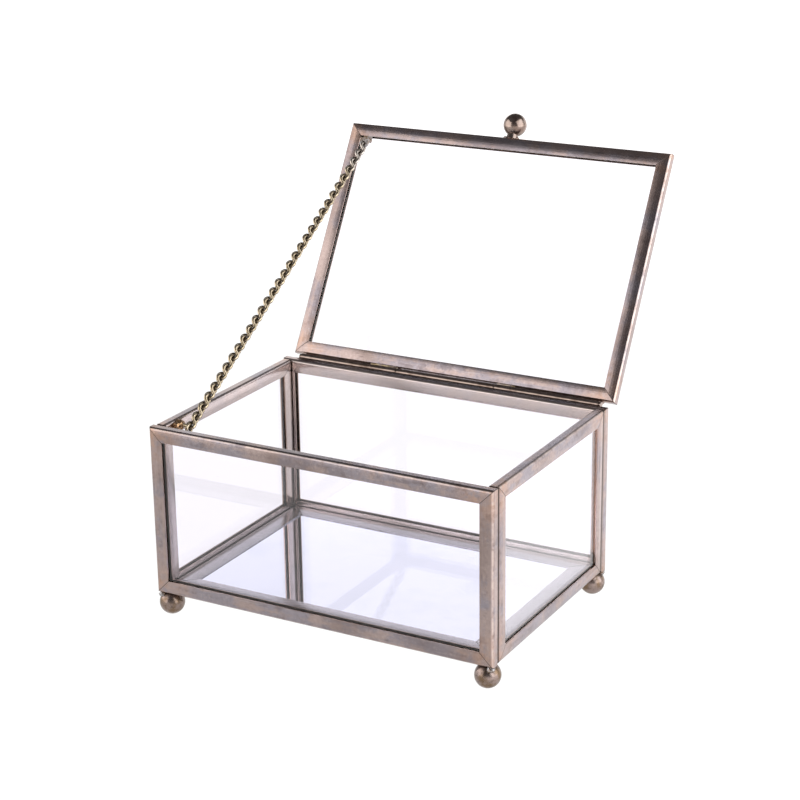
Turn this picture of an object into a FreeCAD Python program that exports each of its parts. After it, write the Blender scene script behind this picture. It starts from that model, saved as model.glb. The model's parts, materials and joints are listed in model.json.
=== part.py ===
import FreeCAD, Part
import math
import os
from FreeCAD import Placement, Rotation, Vector

# A glass keepsake box: framed glass walls, a mirror floor, a hinged glass lid held open by a chain.
# Millimetres. The origin is the middle of the box's footprint on the table, +Z up, the front faces -Y.
# The pieces stand as the lid rests: open, with the chain pulled straight.

# Box
box_width = 150.0
box_depth = 103.0
wall_height = 70.0

# Folded metal strips that frame each pane
strip_face = 5.6
strip_thickness = 4.8
strip_sheet = 0.6
strip_bend = 1.2
strip_crown = 0.15
pane_clearance = 0.2
pane_edge_gap = 0.3
seam = 0.1

# Floor panel: a mirror with its painted back
floor_strip_width = 8.0
floor_thickness = 3.8
floor_sheet = 0.4
floor_bend = 0.8
floor_crown = 0.1
floor_backing = 0.3
floor_clearance = 0.1

# Ball feet
foot_radius = 5.1
foot_top_cut = 0.4
foot_bottom_cut = 0.2
foot_inset = 4.2

# Lid
lid_back_overhang = 0.6
lid_front_overhang = 1.9
lid_rim_gap = 0.45
lid_open_angle = 120.8

# Lid knob
knob_radius = 5.0
knob_neck_length = 1.3
knob_neck_root_radius = 2.6
knob_neck_tip_radius = 2.0
knob_offset = 1.8

# Hinge
hinge_length = 139.0
hinge_middle_length = 45.4
hinge_gap = 0.5
hinge_setback = 2.5
hinge_drop = 0.75
knuckle_radius = 1.5
hinge_pin_radius = 0.8
hinge_pin_clearance = 0.05
hinge_pin_head_radius = 1.25
hinge_pin_head_length = 0.7
hinge_pin_end_play = 0.2
hinge_leaf_height = 2.6

# Stay chain and the two eyes that hold it
chain_links_hanging = 10
chain_links_folding = 5
chain_wire = 1.35
chain_half_width = 1.6
chain_play = 0.06
chain_from_left = 9.5
chain_from_front = 14.1
chain_below_rim = 3.4
box_eye_radius = 1.6
box_eye_stub_radius = 0.8
box_eye_pad_radius = 1.4
box_eye_pad_thickness = 0.8
lid_eye_reach = 2.4
lid_eye_standoff = 1.8
lid_eye_wall_gap = 0.5
lid_eye_pad_length = 1.4
lid_eye_pad_half_width = 2.1
lid_eye_tongue_thickness = 0.4

# Heights and edges that several pieces share
foot_height = 2 * foot_radius - foot_top_cut - foot_bottom_cut
wall_bottom = foot_height
rim = wall_bottom + wall_height
half_width = box_width / 2
half_depth = box_depth / 2
inner_half_width = half_width - strip_thickness
inner_half_depth = half_depth - strip_thickness
lid_underside = rim + lid_rim_gap
lid_back_edge = half_depth + lid_back_overhang
lid_front_edge = -half_depth - lid_front_overhang
lid_length = lid_back_edge - lid_front_edge
hinge_axis = Vector(0, half_depth + hinge_setback, rim - hinge_drop)

upright_sides = ("bottom", "right", "top", "left")
flat_sides = ("front", "right", "back", "left")
along_x = Vector(1, 0, 0)
along_y = Vector(0, 1, 0)
along_z = Vector(0, 0, 1)


def save(name, shape):
    shape.exportStep(os.path.join("parts", name + ".step"))


def prism(points, depth):
    return Part.Face(Part.makePolygon(points + points[:1])).extrude(depth)


def merged(shapes):
    return shapes[0].fuse(shapes[1:]).removeSplitter()


def arc_edge(start, middle, end):
    return Part.Arc(start, middle, end).toShape()


def strip_section(face, thickness, sheet, bend, crown):
    """A U-shaped fold with two crowned faces: its closed side on Y = 0, its open side at Y = face."""
    inner = bend - sheet
    outer_way = bend * (1 - math.sqrt(0.5))
    inner_way = bend - inner * math.sqrt(0.5)
    middle = (face + bend) / 2

    def at(across, through):
        return Vector(0, across, through)

    def over(across, through):
        return Vector(0, across, thickness - through)

    edges = [
        arc_edge(at(face, crown), at(middle, 0), at(bend, crown)),
        arc_edge(at(bend, crown), at(outer_way, crown + outer_way), at(0, crown + bend)),
        Part.makeLine(at(0, crown + bend), over(0, crown + bend)),
        arc_edge(over(0, crown + bend), over(outer_way, crown + outer_way), over(bend, crown)),
        arc_edge(over(bend, crown), over(middle, 0), over(face, crown)),
        Part.makeLine(over(face, crown), over(face, sheet)),
        Part.makeLine(over(face, sheet), over(bend, sheet)),
        arc_edge(over(bend, sheet), over(inner_way, inner_way), over(sheet, bend)),
        Part.makeLine(over(sheet, bend), at(sheet, bend)),
        arc_edge(at(sheet, bend), at(inner_way, inner_way), at(bend, sheet)),
        Part.makeLine(at(bend, sheet), at(face, sheet)),
        Part.makeLine(at(face, sheet), at(face, crown)),
    ]
    return Part.Face(Part.Wire(edges))


def mitred_strip(length, face, thickness, sheet, bend, crown):
    """A strip along X with both ends cut at 45 degrees, its outer edge on Y = 0."""
    strip = strip_section(face, thickness, sheet, bend, crown).extrude(Vector(length, 0, 0))
    keep = prism(
        [
            Vector(0, 0, 0),
            Vector(length, 0, 0),
            Vector(length - face, face, 0),
            Vector(face, face, 0),
        ],
        Vector(0, 0, thickness),
    )
    return strip.common(keep)


def frame_strips(sides, width, height, face, thickness, sheet, bend, crown):
    """Four strips round a panel that lies from the origin along +X and +Y, as seen from +Z."""
    runs = [
        (Vector(0, 0, 0), 0, width),
        (Vector(width, 0, 0), 90, height),
        (Vector(width, height, 0), 180, width),
        (Vector(0, height, 0), 270, height),
    ]
    strips = {}
    for side, (corner, turn, length) in zip(sides, runs):
        strip = mitred_strip(length, face, thickness, sheet, bend, crown)
        strip.Placement = Placement(corner, Rotation(along_z, turn))
        strips["frame_" + side] = strip
    return strips


def pane_plate(width, height, sheet, low, thickness):
    edge = sheet + pane_edge_gap
    return Part.makeBox(width - 2 * edge, height - 2 * edge, thickness, Vector(edge, edge, low))


def glass_panel(sides, width, height):
    pieces = frame_strips(
        sides, width, height, strip_face, strip_thickness, strip_sheet, strip_bend, strip_crown)
    low = strip_sheet + pane_clearance
    pieces["glass"] = pane_plate(width, height, strip_sheet, low, strip_thickness - 2 * low)
    return pieces


def mirror_panel(sides, width, height):
    pieces = frame_strips(
        sides, width, height, floor_strip_width, floor_thickness, floor_sheet, floor_bend, floor_crown)
    low = floor_sheet + floor_clearance
    mirror_low = low + floor_backing
    mirror_thickness = floor_thickness - low - mirror_low
    pieces["backing"] = pane_plate(width, height, floor_sheet, low, floor_backing)
    pieces["mirror"] = pane_plate(width, height, floor_sheet, mirror_low, mirror_thickness)
    return pieces


def facing(across, upward, corner):
    """Placement that lays a panel's X along one direction and its Y along another."""
    return Placement(corner, Rotation(across, upward, across.cross(upward), "XYZ"))


def placed(pieces, placement):
    for shape in pieces.values():
        shape.Placement = placement.multiply(shape.Placement)
    return pieces


def named(prefix, pieces):
    return {prefix + "_" + name: shape for name, shape in pieces.items()}


def lid_opened(shape):
    """Swing a piece that was made on the closed lid to where the open lid rests."""
    turned = shape.copy()
    turned.rotate(hinge_axis, along_x, -lid_open_angle)
    return turned


def lid_point_opened(point):
    return hinge_axis + Rotation(along_x, -lid_open_angle).multVec(point - hinge_axis)


def walls():
    side_length = 2 * (inner_half_depth - seam)
    side_reach = inner_half_depth - seam
    pieces = {}
    pieces.update(named("front", placed(
        glass_panel(upright_sides, box_width, wall_height),
        facing(along_x, along_z, Vector(-half_width, -inner_half_depth, wall_bottom)))))
    pieces.update(named("back", placed(
        glass_panel(upright_sides, box_width, wall_height),
        facing(-along_x, along_z, Vector(half_width, inner_half_depth, wall_bottom)))))
    pieces.update(named("right", placed(
        glass_panel(upright_sides, side_length, wall_height),
        facing(along_y, along_z, Vector(inner_half_width, -side_reach, wall_bottom)))))
    pieces.update(named("left", placed(
        glass_panel(upright_sides, side_length, wall_height),
        facing(-along_y, along_z, Vector(-inner_half_width, side_reach, wall_bottom)))))
    return pieces


def floor():
    reach_x = inner_half_width - seam
    reach_y = inner_half_depth - seam
    return named("floor", placed(
        mirror_panel(flat_sides, 2 * reach_x, 2 * reach_y),
        facing(along_x, along_y, Vector(-reach_x, -reach_y, wall_bottom))))


def feet():
    reach_x = half_width - foot_inset
    reach_y = half_depth - foot_inset
    centre_height = foot_radius - foot_bottom_cut
    pieces = {}
    for end, y in (("front", -reach_y), ("back", reach_y)):
        for side, x in (("left", -reach_x), ("right", reach_x)):
            ball = Part.makeSphere(foot_radius, Vector(x, y, centre_height))
            slab = Part.makeBox(
                4 * foot_radius, 4 * foot_radius, foot_height,
                Vector(x - 2 * foot_radius, y - 2 * foot_radius, 0))
            pieces["foot_" + end + "_" + side] = ball.common(slab)
    return pieces


def lid():
    panel = placed(
        glass_panel(flat_sides, box_width, lid_length),
        facing(along_x, along_y, Vector(-half_width, lid_front_edge, lid_underside)))
    return {name: lid_opened(shape) for name, shape in named("lid", panel).items()}


def knob():
    edge = Vector(knob_offset, lid_front_edge, lid_underside + strip_thickness / 2)
    centre = edge - along_y * (knob_neck_length + knob_radius)
    reach = knob_neck_length + knob_radius / 2
    neck = Part.makeCone(knob_neck_root_radius, knob_neck_tip_radius, reach, edge, -along_y)
    return lid_opened(merged([Part.makeSphere(knob_radius, centre), neck]))


def tube(radius, start, end):
    return Part.makeCylinder(radius, end - start, Vector(start, hinge_axis.y, hinge_axis.z), along_x)


def knuckle(start, end, leaf_points):
    leaf = prism([Vector(start, y, z) for y, z in leaf_points], Vector(end - start, 0, 0))
    body = merged([tube(knuckle_radius, start, end), leaf])
    return body.cut(tube(hinge_pin_radius + hinge_pin_clearance, start, end))


def hinge():
    y, z = hinge_axis.y, hinge_axis.z
    bite = knuckle_radius / 2
    lid_low = lid_underside + strip_crown + strip_bend
    lid_leaf = [
        (lid_back_edge, lid_low),
        (lid_back_edge, lid_low + hinge_leaf_height),
        (y + bite, z + bite),
        (y - bite, z + bite / 2),
    ]
    box_high = rim - strip_bend
    box_leaf = [
        (half_depth, box_high - hinge_leaf_height),
        (half_depth, box_high),
        (y - bite, z + bite / 2),
        (y + bite / 2, z - bite),
    ]
    middle = hinge_middle_length / 2
    end = hinge_length / 2
    outer = end + hinge_pin_end_play
    head = hinge_pin_head_length
    pin = merged([
        tube(hinge_pin_radius, -outer, outer),
        tube(hinge_pin_head_radius, -outer - head, -outer),
        tube(hinge_pin_head_radius, outer, outer + head),
    ])
    return {
        "lid_knuckle_left": lid_opened(knuckle(-end, -middle - hinge_gap, lid_leaf)),
        "lid_knuckle_right": lid_opened(knuckle(middle + hinge_gap, end, lid_leaf)),
        "box_knuckle": knuckle(-middle, middle, box_leaf),
        "hinge_pin": pin,
    }


# The chain runs straight from the eye on the left wall to the eye on the open lid.
chain_x = -half_width + chain_from_left
chain_start = Vector(chain_x, -half_depth + chain_from_front, rim - chain_below_rim)
lid_eye_pad_front = lid_eye_wall_gap - inner_half_depth
lid_eye_closed = Vector(
    chain_x, lid_eye_pad_front + lid_eye_pad_length + lid_eye_reach, lid_underside - lid_eye_standoff)
chain_end = lid_point_opened(lid_eye_closed)
chain_way = (chain_end - chain_start).normalize()
chain_rise = along_x.cross(chain_way)
chain_link_count = 2 * (chain_links_hanging + chain_links_folding) + 1
chain_pitch = (chain_end - chain_start).Length / chain_link_count
link_half_length = (chain_pitch + chain_wire + chain_play) / 2


def bent_wire(start, tangent, centre, axis, degrees):
    """A stretch of round wire that turns about an axis."""
    circle = Part.Circle(start, tangent, chain_wire / 2)
    section = Part.Face(Part.Wire(circle.toShape()))
    return section.revolve(centre, axis, degrees)


def side_of_link(start, end):
    """The S-shaped side of a twisted link, two equal arcs that start and end along +X."""
    shift = Vector(0, end.y - start.y, end.z - start.z)
    sideways = Vector(shift).normalize()
    half_run = (end.x - start.x) / 2
    radius = (half_run ** 2 + (shift.Length / 2) ** 2) / shift.Length
    turn = math.degrees(math.asin(half_run / radius))
    axis = along_x.cross(sideways)
    first = bent_wire(start, along_x, start + sideways * radius, axis, turn)
    last = bent_wire(end, along_x, end - sideways * radius, axis, turn)
    return [first, last]


def twisted_link():
    """A curb link along X about the origin: its -X bow lies in XY, its +X bow in XZ, a quarter turn on."""
    centre_run = link_half_length - chain_half_width
    low_centre = Vector(-centre_run, 0, 0)
    high_centre = Vector(centre_run, 0, 0)
    across = along_y * chain_half_width
    turned = -along_z * chain_half_width
    bows = [
        bent_wire(low_centre + across, along_x, low_centre, along_z, 180),
        bent_wire(high_centre - turned, along_x, high_centre, along_y, 180),
    ]
    sides = (
        side_of_link(low_centre + across, high_centre + turned)
        + side_of_link(low_centre - across, high_centre - turned)
    )
    return merged(bows + sides)


def chain():
    across = along_x
    link = twisted_link()
    runs = [
        ("chain_lower_run", chain_links_hanging),
        ("chain_lower_end", chain_links_folding),
        ("chain_turn_link", 1),
        ("chain_upper_end", chain_links_folding),
        ("chain_upper_run", chain_links_hanging),
    ]
    turn = Rotation(chain_way, across, chain_way.cross(across), "XYZ")
    pieces = {}
    done = 0
    for name, count in runs:
        links = []
        for number in range(done, done + count):
            copy = link.copy()
            copy.Placement = Placement(
                chain_start + chain_way * (number * chain_pitch + link_half_length), turn)
            links.append(copy)
        pieces[name] = Part.makeCompound(links)
        done += count
    return pieces


def box_eye():
    """A ring on a stub, soldered to the inner face of the left wall's top strip."""
    lead = chain_wire + chain_play
    centre = chain_start + chain_way * (lead - box_eye_radius)
    ring = Part.makeTorus(box_eye_radius, chain_wire / 2, centre, along_x)
    top = centre + chain_rise * box_eye_radius
    root = Vector(-inner_half_width, top.y, top.z)
    stub = Part.makeCylinder(box_eye_stub_radius, chain_x - root.x, root, along_x)
    pad = Part.makeCylinder(box_eye_pad_radius, box_eye_pad_thickness, root, along_x)
    return merged([ring, stub, pad])


def lid_eye():
    """A wire staple over the glass; a flat tongue holds its pad to the lip of the lid's front strip."""
    bar = lid_eye_closed
    lip = lid_front_edge + strip_face
    pad_low = bar.z - chain_wire / 2
    lip_middle = lid_underside + (strip_crown + strip_sheet) / 2
    tongue_low = lip_middle - lid_eye_tongue_thickness / 2
    tongue_top = tongue_low + lid_eye_tongue_thickness
    left = chain_x - lid_eye_pad_half_width
    width = 2 * lid_eye_pad_half_width
    tongue = Part.makeBox(
        width, lid_eye_pad_front + lid_eye_pad_length - lip, lid_eye_tongue_thickness,
        Vector(left, lip, tongue_low))
    pad = Part.makeBox(
        width, lid_eye_pad_length, tongue_top - pad_low, Vector(left, lid_eye_pad_front, pad_low))
    bow_centre = bar - along_y * chain_half_width
    bow_side = along_x * chain_half_width
    reach = bow_centre.y - lid_eye_pad_front - lid_eye_pad_length / 2
    bow = bent_wire(bow_centre + bow_side, along_y, bow_centre, along_z, 180)
    legs = [
        Part.makeCylinder(chain_wire / 2, reach, bow_centre + side, -along_y)
        for side in (bow_side, -bow_side)
    ]
    return lid_opened(merged([pad, tongue, bow] + legs))


def all_pieces():
    pieces = {}
    for group in (walls(), floor(), feet(), lid(), hinge(), chain()):
        pieces.update(group)
    pieces["lid_knob"] = knob()
    pieces["box_chain_eye"] = box_eye()
    pieces["lid_chain_eye"] = lid_eye()
    return pieces


os.makedirs("parts", exist_ok=True)
for name, shape in all_pieces().items():
    save(name, shape)
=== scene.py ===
"""Dresses the solids of a small glass box with finishes and solder, in a white studio."""

import json
import math

import bmesh
import bpy
from mathutils import Matrix, Vector, noise


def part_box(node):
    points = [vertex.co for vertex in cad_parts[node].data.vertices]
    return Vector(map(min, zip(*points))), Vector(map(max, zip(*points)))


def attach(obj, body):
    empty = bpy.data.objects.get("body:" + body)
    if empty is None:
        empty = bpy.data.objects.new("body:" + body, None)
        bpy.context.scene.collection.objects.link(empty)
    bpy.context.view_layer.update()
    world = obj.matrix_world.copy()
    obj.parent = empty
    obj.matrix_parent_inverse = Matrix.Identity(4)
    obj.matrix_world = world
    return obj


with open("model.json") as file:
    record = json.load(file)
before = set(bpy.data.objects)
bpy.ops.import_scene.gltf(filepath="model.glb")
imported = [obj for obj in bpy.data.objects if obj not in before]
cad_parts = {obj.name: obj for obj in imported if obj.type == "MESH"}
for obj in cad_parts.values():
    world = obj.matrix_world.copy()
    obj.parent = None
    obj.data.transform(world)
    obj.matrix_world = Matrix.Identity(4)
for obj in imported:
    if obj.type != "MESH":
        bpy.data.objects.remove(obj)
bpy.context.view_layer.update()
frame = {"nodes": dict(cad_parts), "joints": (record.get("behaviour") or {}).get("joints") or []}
nodes = frame["nodes"]
joints = {joint["name"]: joint for joint in frame["joints"]}

millimetre = 0.001
x_axis = 0
y_axis = 1
z_axis = 2

# Antique bronze of the folded strips, as reflected colour
bronze_warm = (0.330, 0.258, 0.240, 1.0)
bronze_cool = (0.262, 0.232, 0.252, 1.0)
bronze_dark = (0.120, 0.084, 0.074, 1.0)
bronze_worn = (0.560, 0.470, 0.420, 1.0)
copper_bloom = (0.430, 0.275, 0.200, 1.0)
raw_copper_and_painted_light = (0.720, 0.540, 0.430, 1.0)
wall_tin = (0.640, 0.565, 0.530, 1.0)
floor_tin = (0.430, 0.415, 0.440, 1.0)
seam_grime_and_shade = (0.050, 0.038, 0.034, 1.0)

# Bronze balls: the feet are dull and mottled, the knob is polished
ball_light = (0.255, 0.196, 0.176, 1.0)
ball_olive = (0.165, 0.110, 0.070, 1.0)
ball_dark = (0.042, 0.029, 0.024, 1.0)
knob_light = (0.285, 0.222, 0.192, 1.0)
knob_dark = (0.165, 0.118, 0.095, 1.0)

# Brass of the stay chain
brass_bright = (0.470, 0.385, 0.270, 1.0)
brass_olive = (0.300, 0.240, 0.155, 1.0)
brass_pale = (0.520, 0.470, 0.430, 1.0)
# Painted shade for the insides of the links
brass_painted_shade = (0.070, 0.052, 0.036, 1.0)

# Solder
solder_gold = (0.560, 0.440, 0.265, 1.0)
solder_grey = (0.330, 0.315, 0.315, 1.0)
solder_copper = (0.420, 0.255, 0.140, 1.0)
solder_brown = (0.300, 0.190, 0.105, 1.0)

# Solder drops: how far they swell out of round, how fast that varies a millimetre, and the step through
# the noise from one seed to the next
coarse_swell = 0.30
coarse_rate = 0.55
fine_swell = 0.16
fine_rate = 1.7
seed_step = (7.3, 3.1, 0.0)

# Panes, the mirror and its painted back
glass_tint = (0.978, 0.962, 1.0, 1.0)
glass_index = 1.45
silver_clear = (0.865, 0.880, 0.965, 1.0)
silver_hazy = (0.820, 0.840, 0.930, 1.0)
paint_grey = (0.115, 0.110, 0.115, 1.0)
paint_scuffed = (0.240, 0.230, 0.225, 1.0)

# Studio: the table and the light it gives off, the room round it, and the lamps
table_base = (0.10, 0.10, 0.10, 1.0)
table_glow = (0.99, 0.99, 0.99, 1.0)
# Painted pool of light on the table, under the right lamp and far behind
table_painted_pool = (1.65, 1.63, 1.65, 1.0)
room_dim = (0.150, 0.148, 0.155, 1.0)
room_pale = (0.950, 0.950, 0.960, 1.0)
lamp_warm = (1.0, 0.980, 0.965)
lamp_cool = (0.950, 0.975, 1.0)
lamp_pale = (0.960, 0.980, 1.0)


def middle_of(values):
    """Half-way between the lowest and the highest."""
    return (min(values) + max(values)) / 2


def half_spread(values):
    """Half the way from the lowest to the highest."""
    return (max(values) - min(values)) / 2


def node_points(prefix):
    """The corners of every node whose name starts like this."""
    return [
        vertex.co
        for name, piece in nodes.items()
        if name.startswith(prefix)
        for vertex in piece.data.vertices
    ]


class Value:
    """A socket of a material; its operators add Math nodes."""

    def __init__(self, finish, socket):
        self.finish = finish
        self.socket = socket

    def __add__(self, other):
        return self.finish.math("ADD", self, other)

    def __sub__(self, other):
        return self.finish.math("SUBTRACT", self, other)

    def __rsub__(self, other):
        return self.finish.math("SUBTRACT", other, self)

    def __mul__(self, other):
        return self.finish.math("MULTIPLY", self, other)

    def __abs__(self):
        return self.finish.math("ABSOLUTE", self)

    __radd__ = __add__
    __rmul__ = __mul__


class Finish:
    """A material under construction."""

    def __init__(self, name):
        self.material = self.blank(name)
        self.material.use_nodes = True
        self.tree = self.material.node_tree
        self.tree.nodes.clear()

    def blank(self, name):
        return bpy.data.materials.new(name)

    def node(self, kind, settings=None, sockets=None, output=0):
        """Adds a node: its settings first, then the values or links of its sockets."""
        made = self.tree.nodes.new(kind)
        for name, setting in (settings or {}).items():
            setattr(made, name, setting)
        for name, value in (sockets or {}).items():
            if isinstance(value, Value):
                self.tree.links.new(value.socket, made.inputs[name])
            else:
                made.inputs[name].default_value = value
        return Value(self, made.outputs[output]) if len(made.outputs) else None

    def math(self, operation, *values):
        return self.node("ShaderNodeMath", {"operation": operation}, dict(enumerate(values)))

    def vector_math(self, operation, *vectors, output="Vector"):
        return self.node("ShaderNodeVectorMath", {"operation": operation}, dict(enumerate(vectors)), output)

    def mix(self, first, second, share):
        """A colour between two colours. Blender tells this node's colour sockets apart by number only."""
        factor = 0
        colour_a = 6
        colour_b = 7
        colour_result = 2
        sockets = {factor: share, colour_a: first, colour_b: second}
        return self.node("ShaderNodeMix", {"data_type": "RGBA"}, sockets, colour_result)

    def coats(self, colour, *layers):
        """A colour with layers over it, each a colour and how much of it shows, from 0 to 1."""
        for layer, share in layers:
            colour = self.mix(colour, layer, share)
        return colour

    def smooth(self, value, low, high):
        """0 at low, 1 at high, eased between; low may be the greater of the two."""
        return self.node(
            "ShaderNodeMapRange",
            {"interpolation_type": "SMOOTHSTEP"},
            {"Value": value, "From Min": low, "From Max": high},
        )

    def noise(self, place, size, detail=2.0, roughness=0.5):
        """Cloudy noise whose patches are about this size across, in metres."""
        return self.node(
            "ShaderNodeTexNoise",
            {},
            {"Vector": place, "Scale": 1 / size, "Detail": detail, "Roughness": roughness},
        )

    def streaks(self, place, stretch):
        """Noise on coordinates multiplied by a different number along each axis."""
        return self.noise(self.vector_math("MULTIPLY", place, stretch), 1.0)

    def parts(self, vector):
        """The three numbers of a vector."""
        return [
            self.node("ShaderNodeSeparateXYZ", {}, {"Vector": vector}, axis) for axis in ("X", "Y", "Z")
        ]

    def place(self):
        return self.node("ShaderNodeTexCoord", output="Object")

    def facing(self):
        return self.node("ShaderNodeTexCoord", output="Normal")

    def bump(self, height, depth, under=None):
        """A normal from a height of 0 to 1 that stands for this depth in metres."""
        sockets = {"Height": height, "Distance": depth}
        if under:
            sockets["Normal"] = under
        return self.node("ShaderNodeBump", {}, sockets)

    def surface(self, sockets):
        shader = self.node("ShaderNodeBsdfPrincipled", {}, sockets)
        self.node("ShaderNodeOutputMaterial", {}, {"Surface": shader})
        return self.material

    def metal(self, colour, roughness, normal):
        return self.surface({
            "Base Color": colour, "Metallic": 1.0, "Roughness": roughness, "Normal": normal,
        })


class Room(Finish):
    """The light all round the studio, built up as a material is."""

    def blank(self, name):
        return bpy.data.worlds.new(name)


class LidTurn:
    """The turn that lays the open lid flat, so that its finish is drawn as on a level panel."""

    def __init__(self, joint):
        self.centre = Vector(joint["pos_m"])
        self.angle = math.radians(-joint["range_deg"][0])
        self.matrix = Matrix.Rotation(self.angle, 3, "X")

    def flat(self, place):
        return self.matrix @ (place - self.centre) + self.centre

    def opened(self, place):
        return self.matrix.transposed() @ (place - self.centre) + self.centre

    def drawn(self, finish, vector, centre):
        """The same turn as flat, inside a material."""
        return finish.node(
            "ShaderNodeVectorRotate",
            {"rotation_type": "X_AXIS"},
            {"Vector": vector, "Center": centre, "Angle": self.angle},
        )


class Panel:
    """Where a framed panel lies: the axes it spreads along, its depth axis, its middles and half sizes."""

    def __init__(self, points, width_axis, height_axis, turn=None):
        self.axes = (width_axis, height_axis)
        self.turn = turn
        spreads = [[point[axis] for point in points] for axis in self.axes]
        self.middle = [middle_of(spread) for spread in spreads]
        self.half = [half_spread(spread) for spread in spreads]
        self.depth_axis = next(axis for axis in (x_axis, y_axis, z_axis) if axis not in self.axes)
        depths = [abs(point[self.depth_axis]) for point in points]
        self.depth_middle = middle_of(depths)
        self.depth_half = half_spread(depths)

    def laid_flat(self, finish):
        """Place and facing on the panel, turned flat if the panel stands open."""
        place = finish.place()
        facing = finish.facing()
        if self.turn:
            place = self.turn.drawn(finish, place, self.turn.centre)
            facing = self.turn.drawn(finish, facing, (0, 0, 0))
        return place, facing

    def from_edges(self, coordinates):
        """How far in from the nearer end along the panel's width, and along its height."""
        return [
            half - abs(coordinates[axis] - middle)
            for axis, middle, half in zip(self.axes, self.middle, self.half)
        ]

    def streaks(self, finish, place, along_width, lengthways, crossways):
        """Streaks that follow each strip: so many a metre along it, so many across it."""
        ways = []
        for axis in self.axes:
            stretch = [crossways] * 3
            stretch[axis] = lengthways
            ways.append(finish.streaks(place, stretch))
        return ways[1] + along_width * (ways[0] - ways[1])


def beside_wall_corner(finish, coordinates):
    """1 on the upright seams where a front or back panel meets a side panel."""
    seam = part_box("left_frame_bottom")[1].y
    return 1 - finish.smooth(abs(abs(coordinates[y_axis]) - seam), 0.3 * millimetre, 1.2 * millimetre)


def everywhere(finish, coordinates):
    """Every fold lies in a groove."""
    return 1.0


def nowhere(finish, coordinates):
    """No fold lies in a groove."""
    return 0.0


def strip_bronze(name, panel, grooved, tin=wall_tin, tinned_inside=0.0, tinned_all=0.0):
    """Patinated bronze on the four mitred strips of a panel; grooved says where two folds meet."""
    finish = Finish(name)
    place, facing = panel.laid_flat(finish)
    coordinates = finish.parts(place)

    # Where on the strip: its mitres and corners, the face turned inwards, and the channel below the skin
    from_edges = panel.from_edges(coordinates)
    past_mitre = from_edges[0] - from_edges[1]
    mitre_line = 1 - finish.smooth(abs(past_mitre), 0.08 * millimetre, 0.30 * millimetre)
    along_width = finish.smooth(past_mitre, -0.05 * millimetre, 0.05 * millimetre)
    corner = 1 - finish.smooth(finish.math("MAXIMUM", *from_edges), 3 * millimetre, 22 * millimetre)
    depth = coordinates[panel.depth_axis]
    outward = finish.parts(facing)[panel.depth_axis] * finish.math("SIGN", depth)
    inward = finish.smooth(0 - outward, 0.3, 0.8)
    skin = 0.5 * millimetre
    within = panel.depth_half - skin
    off_middle = abs(abs(depth) - panel.depth_middle)
    below_faces = 1 - finish.smooth(off_middle, within, within + 0.08 * millimetre)
    across = finish.math("MINIMUM", *from_edges)
    channel = below_faces * finish.smooth(across, 0.3 * millimetre, skin)

    # Folds: where the surface faces none of the axes squarely
    squareness = finish.parts(finish.vector_math("ABSOLUTE", facing))
    squarest = finish.math("MAXIMUM", finish.math("MAXIMUM", *squareness[:2]), squareness[2])
    bend = 1 - finish.smooth(squarest, 0.80, 0.985)
    groove = bend * grooved(finish, coordinates)

    clouds = finish.noise(place, 12 * millimetre, detail=4.0, roughness=0.6)
    drift = finish.noise(place, 37 * millimetre)
    blotch = finish.noise(place, 4.4 * millimetre, detail=5.0, roughness=0.65)
    mottle = finish.noise(place, 1.3 * millimetre, detail=4.0, roughness=0.65)
    grain = finish.noise(place, 0.45 * millimetre)
    smears = panel.streaks(finish, place, along_width, lengthways=38.0, crossways=430.0)
    lines = panel.streaks(finish, place, along_width, lengthways=45.0, crossways=2600.0)

    smeared = smears - 0.5
    colour = finish.coats(
        bronze_warm,
        (bronze_cool, finish.smooth(clouds + 0.5 * smeared + 0.08 * along_width, 0.44, 0.66)),
        (copper_bloom, 0.8 * corner * finish.smooth(clouds + blotch, 0.80, 1.20)),
        (bronze_dark, 0.42 * finish.smooth(blotch + 0.9 * smeared, 0.50, 0.78)),
        (bronze_dark, 0.40 * finish.smooth(drift, 0.48, 0.70)),
        # lighter on the folds outside the grooves: partly rubbed wear, partly a painted highlight along the
        # bends
        (bronze_worn, 0.50 * (bend - groove) * finish.smooth(blotch, 0.66, 0.40)),
        (bronze_dark, 0.20 * finish.smooth(mottle, 0.52, 0.68)),
        (bronze_worn, 0.14 * finish.smooth(mottle, 0.46, 0.32)),
        (bronze_worn, 0.22 * finish.smooth(lines, 0.62, 0.74)),
        (tin, tinned_inside * inward + tinned_all),
        # inside the channel: raw copper, partly painted light that lifts the dark recess
        (raw_copper_and_painted_light, 0.9 * channel),
        (seam_grime_and_shade, 0.75 * mitre_line),
        # near-black in the grooves where two folds meet: painted shade in the crease; the mitre lines above
        # are grime in the joints
        (seam_grime_and_shade, 0.92 * groove),
    )
    roughness = 0.09 + 0.14 * clouds + 0.08 * grain + 0.05 * lines + 0.30 * mitre_line + 0.25 * groove
    dents = finish.bump(clouds, 0.07 * millimetre)
    marks = finish.bump(0.4 * lines + 0.3 * grain + 0.3 * mottle, 0.012 * millimetre, dents)
    return finish.metal(colour, roughness, marks)


def knob_bronze(name):
    """Dark polished bronze, browner where the polish has not reached."""
    finish = Finish(name)
    place = finish.place()
    clouds = finish.noise(place, 5 * millimetre, detail=4.0, roughness=0.6)
    grain = finish.noise(place, 0.5 * millimetre)
    colour = finish.mix(knob_light, knob_dark, finish.smooth(clouds, 0.42, 0.68))
    roughness = 0.12 + 0.12 * clouds + 0.05 * grain
    marks = finish.bump(0.8 * clouds + 0.2 * grain, 0.02 * millimetre)
    return finish.metal(colour, roughness, marks)


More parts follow.
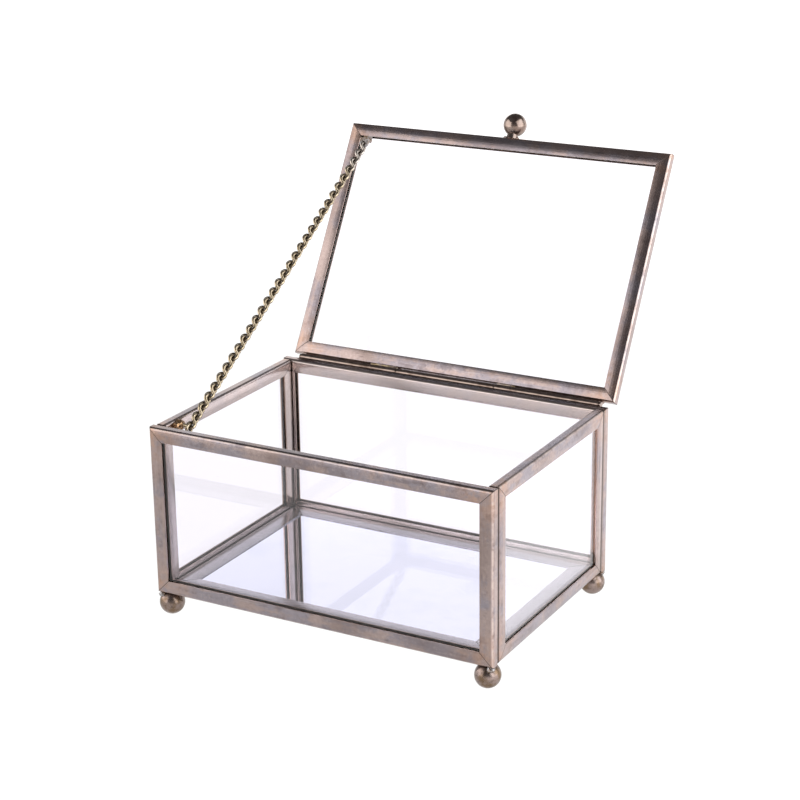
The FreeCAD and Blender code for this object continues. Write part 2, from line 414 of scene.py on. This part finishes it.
def foot_bronze(name):
    """Dull bronze with olive and dark patches, darker towards the top, where the solder is."""
    finish = Finish(name)
    place = finish.place()
    clouds = finish.noise(place, 4.2 * millimetre, detail=4.0, roughness=0.6)
    blotch = finish.noise(place, 1.5 * millimetre, detail=4.0, roughness=0.6)
    grain = finish.noise(place, 0.4 * millimetre)
    height = finish.parts(place)[z_axis]
    # darker towards the top of the ball, where it meets the box
    top_darkening = finish.smooth(height + 2.4 * millimetre * (blotch - 0.5), 7.6 * millimetre, 9.4 * millimetre)
    colour = finish.coats(
        ball_light,
        (ball_olive, finish.smooth(clouds, 0.40, 0.62)),
        (ball_dark, 0.6 * finish.smooth(blotch, 0.50, 0.72)),
        (ball_dark, 0.7 * top_darkening),
    )
    roughness = 0.14 + 0.14 * clouds + 0.12 * blotch + 0.2 * top_darkening
    dents = finish.bump(blotch, 0.05 * millimetre)
    marks = finish.bump(grain, 0.012 * millimetre, dents)
    return finish.metal(colour, roughness, marks)


def solder(name, main, second):
    """Wrinkled solder in two tones."""
    finish = Finish(name)
    place = finish.place()
    clouds = finish.noise(place, 2.2 * millimetre, detail=4.0, roughness=0.6)
    wrinkles = finish.noise(place, 0.9 * millimetre, detail=4.0, roughness=0.6)
    colour = finish.coats(
        main,
        (second, finish.smooth(clouds, 0.42, 0.62)),
        (bronze_dark, 0.55 * finish.smooth(wrinkles, 0.56, 0.74)),
    )
    return finish.metal(colour, 0.22 + 0.25 * wrinkles, finish.bump(wrinkles, 0.06 * millimetre))


def chain_brass(name):
    """Yellow brass wire, bright on the rounds, with painted shade dark inside the links, and greyer towards
    the lid.
    """
    finish = Finish(name)
    place = finish.place()
    start = Vector(joints["chain_lower_swing"]["pos_m"])
    run = Vector(joints["chain_upper_swing"]["pos_m"]) - start
    from_start = finish.vector_math("SUBTRACT", place, start)
    aside = finish.vector_math("CROSS_PRODUCT", from_start, run.normalized())
    from_axis = finish.vector_math("LENGTH", aside, output="Value")
    along = finish.vector_math("DOT_PRODUCT", from_start, run.normalized(), output="Value")
    upper_end = finish.smooth(along, run.length - 20 * millimetre, run.length - 9 * millimetre)
    # painted shade: the links darken towards the chain's axis, in place of occlusion
    recess = 1 - finish.smooth(from_axis, 0.85 * millimetre, 1.75 * millimetre)
    clouds = finish.noise(place, 2.4 * millimetre, detail=3.0, roughness=0.6)
    grain = finish.noise(place, 0.3 * millimetre)
    colour = finish.coats(
        brass_bright,
        (brass_olive, finish.smooth(clouds, 0.38, 0.66)),
        (brass_pale, 0.8 * upper_end),
        (brass_painted_shade, 0.85 * recess),
    )
    roughness = 0.20 + 0.12 * clouds + 0.25 * recess
    marks = finish.bump(0.5 * clouds + 0.5 * grain, 0.010 * millimetre)
    return finish.metal(colour, roughness, marks)


def pane_glass(name):
    """Clear drawn glass with a slight waver and faint hand marks."""
    finish = Finish(name)
    place = finish.place()
    waver = finish.noise(place, 38 * millimetre, detail=1.0)
    smears = finish.noise(place, 16 * millimetre, detail=4.0, roughness=0.65)
    return finish.surface({
        "Base Color": glass_tint,
        "Transmission Weight": 1.0,
        "IOR": glass_index,
        "Roughness": 0.02 * finish.smooth(smears, 0.55, 0.75),
        "Normal": finish.bump(waver, 0.02 * millimetre),
    })


def mirror_silver(name):
    """Silvered mirror with faint wiping marks and a few dust specks."""
    finish = Finish(name)
    place = finish.place()
    smears = finish.noise(place, 22 * millimetre, detail=4.0, roughness=0.6)
    dust = finish.noise(place, 1.1 * millimetre)
    waver = finish.noise(place, 45 * millimetre, detail=1.0)
    haze = finish.smooth(smears, 0.48, 0.74)
    specks = finish.smooth(dust, 0.74, 0.80)
    colour = finish.mix(silver_clear, silver_hazy, haze)
    roughness = 0.015 + 0.05 * haze + 0.30 * specks
    return finish.metal(colour, roughness, finish.bump(waver, 0.01 * millimetre))


def backing_paint(name):
    """Grey paint on the mirror's back, rolled on and scuffed."""
    finish = Finish(name)
    place = finish.place()
    rolled = finish.noise(place, 1.6 * millimetre, detail=3.0, roughness=0.6)
    scuffs = finish.streaks(place, (60.0, 420.0, 60.0))
    return finish.surface({
        "Base Color": finish.mix(paint_grey, paint_scuffed, finish.smooth(scuffs, 0.62, 0.72)),
        "Roughness": 0.52 + 0.2 * rolled,
        "Normal": finish.bump(rolled, 0.03 * millimetre),
    })


def finish_pieces(lid_turn):
    """Gives every piece of the frame its finish."""
    walls_across = Panel(node_points("front_frame"), x_axis, z_axis)
    walls_deep = Panel(node_points("left_frame"), y_axis, z_axis)
    floor_panel = Panel(node_points("floor_frame"), x_axis, y_axis)
    flat_lid = [lid_turn.flat(point) for point in node_points("lid_frame")]
    lid_panel = Panel(flat_lid, x_axis, y_axis, lid_turn)
    across = strip_bronze("wall_strip_bronze_across", walls_across, beside_wall_corner, tinned_inside=0.6)
    deep = strip_bronze("wall_strip_bronze_deep", walls_deep, beside_wall_corner, tinned_inside=0.6)
    floor_strips = strip_bronze("floor_strip_bronze", floor_panel, everywhere, floor_tin, tinned_all=0.85)
    lid_strips = strip_bronze("lid_strip_bronze", lid_panel, nowhere)
    knob = knob_bronze("knob_bronze")
    brass = chain_brass("chain_brass")
    by_prefix = {
        "front_frame": across,
        "back_frame": across,
        "left_frame": deep,
        "right_frame": deep,
        "floor_frame": floor_strips,
        "lid_frame": lid_strips,
        "floor_mirror": mirror_silver("mirror_silver"),
        "floor_backing": backing_paint("mirror_back_paint"),
        "foot": foot_bronze("foot_bronze"),
        "lid_knob": knob,
        "lid_knuckle": knob,
        "box_knuckle": knob,
        "hinge_pin": knob,
        "chain": brass,
        "box_chain_eye": brass,
        "lid_chain_eye": solder("eye_solder", solder_grey, ball_olive),
    }
    glass = pane_glass("pane_glass")
    for name, piece in nodes.items():
        if name.endswith("_glass"):
            material = glass
        else:
            material = next(made for prefix, made in by_prefix.items() if name.startswith(prefix))
        piece.data.materials.clear()
        piece.data.materials.append(material)


def solder_lump(name, middle, reach, seed, material, body, opened=None):
    """A wrinkled drop of solder: its middle and how far it reaches each way, in millimetres."""
    shift = Vector([seed * step for step in seed_step])
    middle = Vector(middle)
    reach = Vector(reach)
    drop = bmesh.new()
    bmesh.ops.create_icosphere(drop, subdivisions=4, radius=1.0)
    for vertex in drop.verts:
        spread = vertex.co * reach
        coarse = noise.noise(spread * coarse_rate + shift)
        fine = noise.noise(spread * fine_rate + shift)
        swell = 1 + coarse_swell * coarse + fine_swell * fine
        place = (middle + spread * swell) * millimetre
        vertex.co = opened(place) if opened else place
    for face in drop.faces:
        face.smooth = True
    mesh = bpy.data.meshes.new(name)
    drop.to_mesh(mesh)
    drop.free()
    mesh.materials.append(material)
    piece = bpy.data.objects.new(name, mesh)
    bpy.context.scene.collection.objects.link(piece)
    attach(piece, body)


def box_solder(gold):
    """Drops at the chain's anchor, above each foot and at one corner of the floor."""
    copper = solder("copper_solder", solder_copper, solder_brown)
    grey = solder("grey_solder", solder_grey, ball_olive)

    # In millimetres: how far in from the chain eye's left, front and top
    inset_left = 0.9
    inset_front = 1.0
    inset_top = 1.5
    eye_low, eye_high = [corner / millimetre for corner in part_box("box_chain_eye")]
    solder_lump(
        "chain_anchor_solder",
        middle=(eye_low.x + inset_left, eye_low.y + inset_front, eye_high.z - inset_top),
        reach=(1.8, 2.9, 2.2), seed=1, material=copper, body="box")

    feet = ("foot_front_right", "foot_front_left", "foot_back_right", "foot_back_left")
    below_top = 0.4
    outer_way = 2.6
    outer_drop = 0.6
    inner_way = 0.9
    first_outer_seed = 2
    first_inner_seed = 8
    for number, foot in enumerate(feet):
        low, high = [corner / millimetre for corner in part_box(foot)]
        middle = (low + high) / 2
        outward = Vector((math.copysign(1, middle.x), math.copysign(1, middle.y), 0))
        top = Vector((middle.x, middle.y, high.z - below_top))
        solder_lump(
            foot + "_solder_outer",
            middle=top + outward * outer_way - Vector((0, 0, outer_drop)),
            reach=(1.6, 1.6, 1.3), seed=first_outer_seed + number, material=grey, body="box")
        solder_lump(
            foot + "_solder_inner",
            middle=top - outward * inner_way,
            reach=(2.2, 1.9, 0.7), seed=first_inner_seed + number, material=gold, body="box")

    corner_inset = 0.9
    floor_low, floor_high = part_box("floor_frame_front")
    left = -floor_high.x / millimetre
    front = floor_low.y / millimetre
    floor_top = floor_high.z / millimetre
    solder_lump(
        "floor_corner_solder",
        middle=(left + corner_inset, front + corner_inset, floor_top),
        reach=(1.7, 1.5, 0.6), seed=15, material=gold, body="box")


def lid_solder(gold, lid_turn):
    """Beads along the hinge's leaves and a collar round the knob's neck, placed with the lid flat."""
    back_strip = [lid_turn.flat(point) / millimetre for point in node_points("lid_frame_back")]
    edge = max(point.y for point in back_strip)
    under = min(point.z for point in back_strip)
    left_leaf_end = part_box("lid_knuckle_left")[1].x / millimetre
    right_leaf_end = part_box("lid_knuckle_right")[0].x / millimetre
    left_bead_half = 7.0
    right_bead_half = 4.2
    right_bead_inset = 4.0
    bead_overlap = 0.2
    bead_rise = 0.6
    beads = (
        ("left", left_leaf_end - left_bead_half, left_bead_half, 16),
        ("right", right_leaf_end + right_bead_inset, right_bead_half, 17),
    )
    for side, bead_middle, half_length, seed in beads:
        solder_lump(
            "hinge_solder_" + side,
            middle=(bead_middle, edge - bead_overlap, under + bead_rise),
            reach=(half_length, 0.5, 0.6), seed=seed, material=gold, body="lid", opened=lid_turn.opened)

    brown = solder("brown_solder", knob_dark, bronze_dark)
    knob = [lid_turn.flat(point) / millimetre for point in node_points("lid_knob")]
    collar_inset = 0.2
    knob_root = max(point.y for point in knob)
    knob_across = middle_of([point.x for point in knob])
    knob_height = middle_of([point.z for point in knob])
    solder_lump(
        "knob_solder",
        middle=(knob_across, knob_root - collar_inset, knob_height),
        reach=(3.4, 1.3, 1.9), seed=18, material=brown, body="lid", opened=lid_turn.opened)


def softbox(name, place, aim, width, height, brightness, colour):
    """A rectangular lamp that looks this bright from any distance; places and sizes are in metres."""
    lamp = bpy.data.lights.new(name, "AREA")
    lamp.shape = "RECTANGLE"
    lamp.size = width
    lamp.size_y = height
    lamp.color = colour
    lamp.energy = brightness * math.pi * width * height
    stand = bpy.data.objects.new(name, lamp)
    stand.location = place
    stand.rotation_euler = (Vector(aim) - Vector(place)).to_track_quat("-Z", "Y").to_euler()
    stand.visible_camera = False
    bpy.context.scene.collection.objects.link(stand)


def studio_lights():
    """A warm lamp on the left, a cool one on the right and a pale reflector behind."""
    softbox(
        "left_softbox", place=(-0.76, -0.57, 0.49), aim=(0.0, 0.0, 0.49),
        width=1.45, height=1.0, brightness=2.15, colour=lamp_warm)
    softbox(
        "right_softbox", place=(0.86, -0.02, 0.52), aim=(0.0, 0.0, 0.08),
        width=1.25, height=1.10, brightness=2.9, colour=lamp_cool)
    softbox(
        "back_reflector", place=(0.0, 1.25, 0.36), aim=(0.0, 0.0, 0.08),
        width=2.6, height=0.9, brightness=0.85, colour=lamp_pale)


def studio_room():
    """A room that is pale low down at the back, less so in front, and dim overhead."""
    room = Room("dim_room")
    depth, height = room.parts(room.node("ShaderNodeTexCoord", output="Generated"))[1:]
    pale_below = math.sin(math.radians(12))
    dim_above = math.sin(math.radians(26))
    front_share = 0.35
    low = room.smooth(height, dim_above, pale_below)
    behind = room.smooth(depth, -0.45, 0.05)
    shade = room.mix(room_dim, room_pale, low * (front_share + (1 - front_share) * behind))
    sky = room.node("ShaderNodeBackground", {}, {"Color": shade})
    room.node("ShaderNodeOutputWorld", {}, {"Surface": sky})
    bpy.context.scene.world = room.material


def table_white(name):
    """White that is lit from within, with a painted pool of light brightest under the lamp on the right and
    far behind.
    """
    finish = Finish(name)
    sideways, depth = finish.parts(finish.place())[:2]
    right_edge = (0.068, 0.095)
    far_edge = (0.25, 0.60)
    far_share = 0.45
    # painted pools of light: brighter emission under the right lamp and far behind
    right_painted_pool = finish.smooth(sideways, *right_edge)
    far_painted_pool = far_share * finish.smooth(depth, *far_edge)
    painted_pool = finish.math("MAXIMUM", right_painted_pool, far_painted_pool)
    return finish.surface({
        "Base Color": table_base,
        "Roughness": 1.0,
        "Specular IOR Level": 0.0,
        "Emission Color": finish.mix(table_glow, table_painted_pool, painted_pool),
        "Emission Strength": 1.0,
    })


def studio_table():
    """A table that reaches past the horizon of every view."""
    reach = 25.0
    corners = [(-reach, -reach, 0.0), (reach, -reach, 0.0), (reach, reach, 0.0), (-reach, reach, 0.0)]
    mesh = bpy.data.meshes.new("table")
    mesh.from_pydata(corners, [], [(0, 1, 2, 3)])
    mesh.materials.append(table_white("white_table"))
    table = bpy.data.objects.new("table", mesh)
    bpy.context.scene.collection.objects.link(table)


def camera():
    """The camera as solved from the straight edges of the box in the photograph."""
    place = Vector((0.377156, -0.656713, 0.347188))
    azimuth = math.radians(29.296)
    elevation = math.radians(18.994)
    roll = math.radians(-0.807)
    focal_pixels = 2044.784
    image_pixels = 800
    sensor = 36.0
    back = Vector((
        math.sin(azimuth) * math.cos(elevation),
        -math.cos(azimuth) * math.cos(elevation),
        math.sin(elevation),
    ))
    right = Vector((math.cos(azimuth), math.sin(azimuth), 0.0))
    up = back.cross(right)
    rolled_right = math.cos(roll) * right + math.sin(roll) * up
    rolled_up = math.cos(roll) * up - math.sin(roll) * right
    view = bpy.data.cameras.new("camera")
    view.sensor_width = sensor
    view.lens = focal_pixels / image_pixels * sensor
    view.clip_start = 0.01
    view.clip_end = 60.0
    stand = bpy.data.objects.new("camera", view)
    turn = Matrix((rolled_right, rolled_up, back)).transposed().to_4x4()
    stand.matrix_world = Matrix.Translation(place) @ turn
    bpy.context.scene.collection.objects.link(stand)
    bpy.context.scene.camera = stand


lid_turn = LidTurn(joints["lid_hinge"])
finish_pieces(lid_turn)
gold = solder("gold_solder", solder_gold, bronze_worn)
box_solder(gold)
lid_solder(gold, lid_turn)
studio_lights()
studio_room()
studio_table()
camera()
bpy.context.scene.view_settings.view_transform = "Standard"
